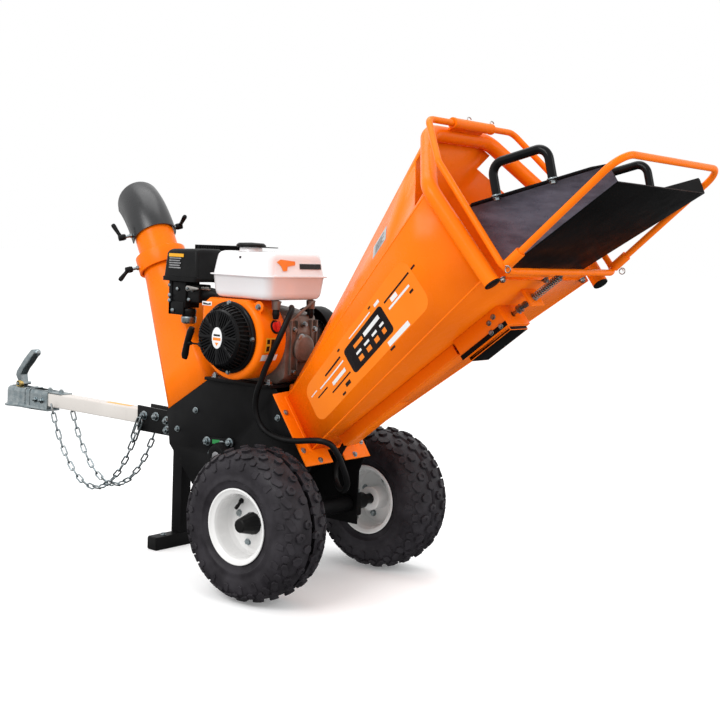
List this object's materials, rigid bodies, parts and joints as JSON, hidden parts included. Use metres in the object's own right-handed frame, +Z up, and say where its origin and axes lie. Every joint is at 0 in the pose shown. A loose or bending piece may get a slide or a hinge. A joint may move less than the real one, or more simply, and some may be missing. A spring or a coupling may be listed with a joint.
{
  "type": "towed wood chipper",
  "caption": "Two-wheeled towed petrol wood chipper with a drum rotor, a feed hopper with tray and safety bar, a swivelling discharge chute, a stand and a ball coupling.",
  "frame": {"origin": "on the ground under the middle of the machine's box", "axes": "+Z up, +X towards the feed hopper, -X towards the tow coupling, Y along the wheel axle"},
  "size_m": [2.1208, 0.603, 1.0876],
  "materials": {
    "orange_coat": "glossy powder coat",
    "black_coat": "satin powder coat",
    "cream_paint": "gloss paint",
    "zinc": "zinc plated",
    "steel": "bare steel",
    "cast_aluminium": "as cast",
    "white_paint": "gloss paint",
    "tank_white": "gloss",
    "tyre": "matte rubber",
    "belt_rubber": "matte rubber",
    "black_plastic": "satin",
    "red_plastic": "gloss"
  },
  "bodies": {
    "chassis": {"side_plate_near": "black_coat", "side_plate_far": "black_coat", "housing_shell": "black_coat", "engine_plate": "black_coat", "anvil_knife": "steel", "belt_guard": "black_coat", "rotor_bearing_near": "black_coat", "rotor_bearing_far": "black_coat", "axle": "black_coat", "stand_post": "black_coat", "stand_foot": "black_coat", "tow_bracket": "black_coat", "tow_bar": "cream_paint", "coupler_body": "zinc", "safety_chain_near": "zinc", "safety_chain_far": "zinc", "chute_lower": "orange_coat", "hopper_body": "orange_coat", "hopper_flange": "orange_coat", "mouth_frame": "orange_coat", "bar_sleeve": "orange_coat", "rod_bracket": "orange_coat", "switch_box": "orange_coat", "cable_channel": "orange_coat", "engine_block": "cast_aluminium", "fan_housing": "orange_coat", "recoil_starter": "black_plastic", "fuel_tank": "tank_white", "air_cleaner": "black_plastic", "carburettor": "black_plastic", "muffler": "steel", "cable_conduit": "black_plastic", "drive_belt": "belt_rubber"},
    "wheel_near": {"tyre_near": "tyre", "rim_near": "white_paint"},
    "wheel_far": {"tyre_far": "tyre", "rim_far": "white_paint"},
    "rotor": {"rotor_drum": "steel", "drum_knife_a": "steel", "drum_knife_b": "steel", "rotor_pulley": "steel"},
    "crankshaft": {"clutch_pulley": "steel"},
    "coupler_latch": {"coupler_lever": "zinc"},
    "chute_head": {"chute_upper": "orange_coat"},
    "hood": {"deflector_hood": "black_coat"},
    "hood_clamp_near": {"hood_lever_near": "black_plastic"},
    "hood_clamp_far": {"hood_lever_far": "black_plastic"},
    "swivel_clamp": {"swivel_lever": "black_plastic"},
    "stop_bar": {"safety_bar": "orange_coat", "guard_loop": "orange_coat"},
    "stop_rod": {"push_rod": "zinc", "return_spring": "zinc"},
    "tray": {"feed_tray": "black_coat", "tray_handle_near": "black_plastic", "tray_handle_far": "black_plastic"},
    "pull_grip": {"recoil_grip": "black_plastic", "recoil_rope": "black_plastic"},
    "stop_switch": {"engine_switch": "red_plastic"},
    "throttle": {"throttle_lever": "black_plastic"},
    "tank_cap": {"fuel_cap": "black_plastic"}
  },
  "joints": [
    {"name": "wheel_near_spin", "type": "hinge", "parent": "chassis", "child": "wheel_near", "pos_m": [0.1942, -0.229, 0.1775], "axis": [0, 1, 0], "continuous": true},
    {"name": "wheel_far_spin", "type": "hinge", "parent": "chassis", "child": "wheel_far", "pos_m": [0.1942, 0.229, 0.1775], "axis": [0, 1, 0], "continuous": true},
    {"name": "rotor_spin", "type": "hinge", "parent": "chassis", "child": "rotor", "pos_m": [-0.0408, 0, 0.285], "axis": [0, 1, 0], "continuous": true},
    {"name": "crank_spin", "type": "hinge", "parent": "chassis", "child": "crankshaft", "pos_m": [0.0312, 0, 0.584], "axis": [0, 1, 0], "continuous": true},
    {"name": "coupler_lever_hinge", "type": "hinge", "parent": "chassis", "child": "coupler_latch", "pos_m": [-0.9958, 0, 0.36], "axis": [0, -1, 0], "range_deg": [0, 45], "stiffness_Nm_per_rad": 1, "springref_deg": -22.92},
    {"name": "chute_swivel", "type": "hinge", "parent": "chassis", "child": "chute_head", "pos_m": [-0.3848, 0, 0.73], "axis": [-0.454, 0, 0.891], "continuous": true},
    {"name": "hood_tilt", "type": "hinge", "parent": "chute_head", "child": "hood", "pos_m": [-0.43383, 0, 0.82623], "axis": [0.4455, 0.866, 0.227], "range_deg": [-34, 10]},
    {"name": "hood_clamp_near_turn", "type": "hinge", "parent": "hood", "child": "hood_clamp_near", "pos_m": [-0.46021, -0.05127, 0.81279], "axis": [-0.4455, -0.866, -0.227], "range_deg": [-45, 45]},
    {"name": "hood_clamp_far_turn", "type": "hinge", "parent": "hood", "child": "hood_clamp_far", "pos_m": [-0.40746, 0.05127, 0.83967], "axis": [0.4455, 0.866, 0.227], "range_deg": [-45, 45]},
    {"name": "swivel_clamp_turn", "type": "hinge", "parent": "chute_head", "child": "swivel_clamp", "pos_m": [-0.42218, -0.05854, 0.72891], "axis": [-0.4455, -0.866, -0.227], "range_deg": [-45, 45]},
    {"name": "stop_bar_push", "type": "hinge", "parent": "chassis", "child": "stop_bar", "pos_m": [0.57992, 0, 1.07612], "axis": [0, 1, 0], "range_deg": [0, 1.8], "stiffness_Nm_per_rad": 220, "springref_deg": -4.58},
    {"name": "stop_rod_slide", "type": "slide", "parent": "chassis", "child": "stop_rod", "axis": [-0.7887, 0, -0.6147], "range_m": [0, 0.0125], "deforming": ["return_spring"]},
    {"name": "tray_fold", "type": "hinge", "parent": "chassis", "child": "tray", "pos_m": [0.7772, 0, 0.772], "axis": [0, -1, 0], "range_deg": [0, 34]},
    {"name": "starter_pull", "type": "slide", "parent": "chassis", "child": "pull_grip", "axis": [-1, 0, 0], "range_m": [0, 0.5], "stiffness_N_per_m": 40, "springref_m": -0.08, "deforming": ["recoil_rope"]},
    {"name": "stop_switch_turn", "type": "hinge", "parent": "chassis", "child": "stop_switch", "pos_m": [0.12807, -0.112, 0.61362], "axis": [0.9563, 0, 0.2924], "range_deg": [0, 60]},
    {"name": "throttle_turn", "type": "hinge", "parent": "chassis", "child": "throttle", "pos_m": [-0.1438, -0.1395, 0.69], "axis": [0, 1, 0], "range_deg": [-8, 35]},
    {"name": "tank_cap_turn", "type": "hinge", "parent": "chassis", "child": "tank_cap", "pos_m": [0.0392, -0.11, 0.8], "axis": [0, 0, 1], "range_deg": [0, 90]}
  ],
  "couplings": [
    {"joint": "crank_spin", "follows": "rotor_spin", "ratio": 1.635},
    {"joint": "stop_rod_slide", "follows": "stop_bar_push", "m_per_rad": 0.391}
  ]
}
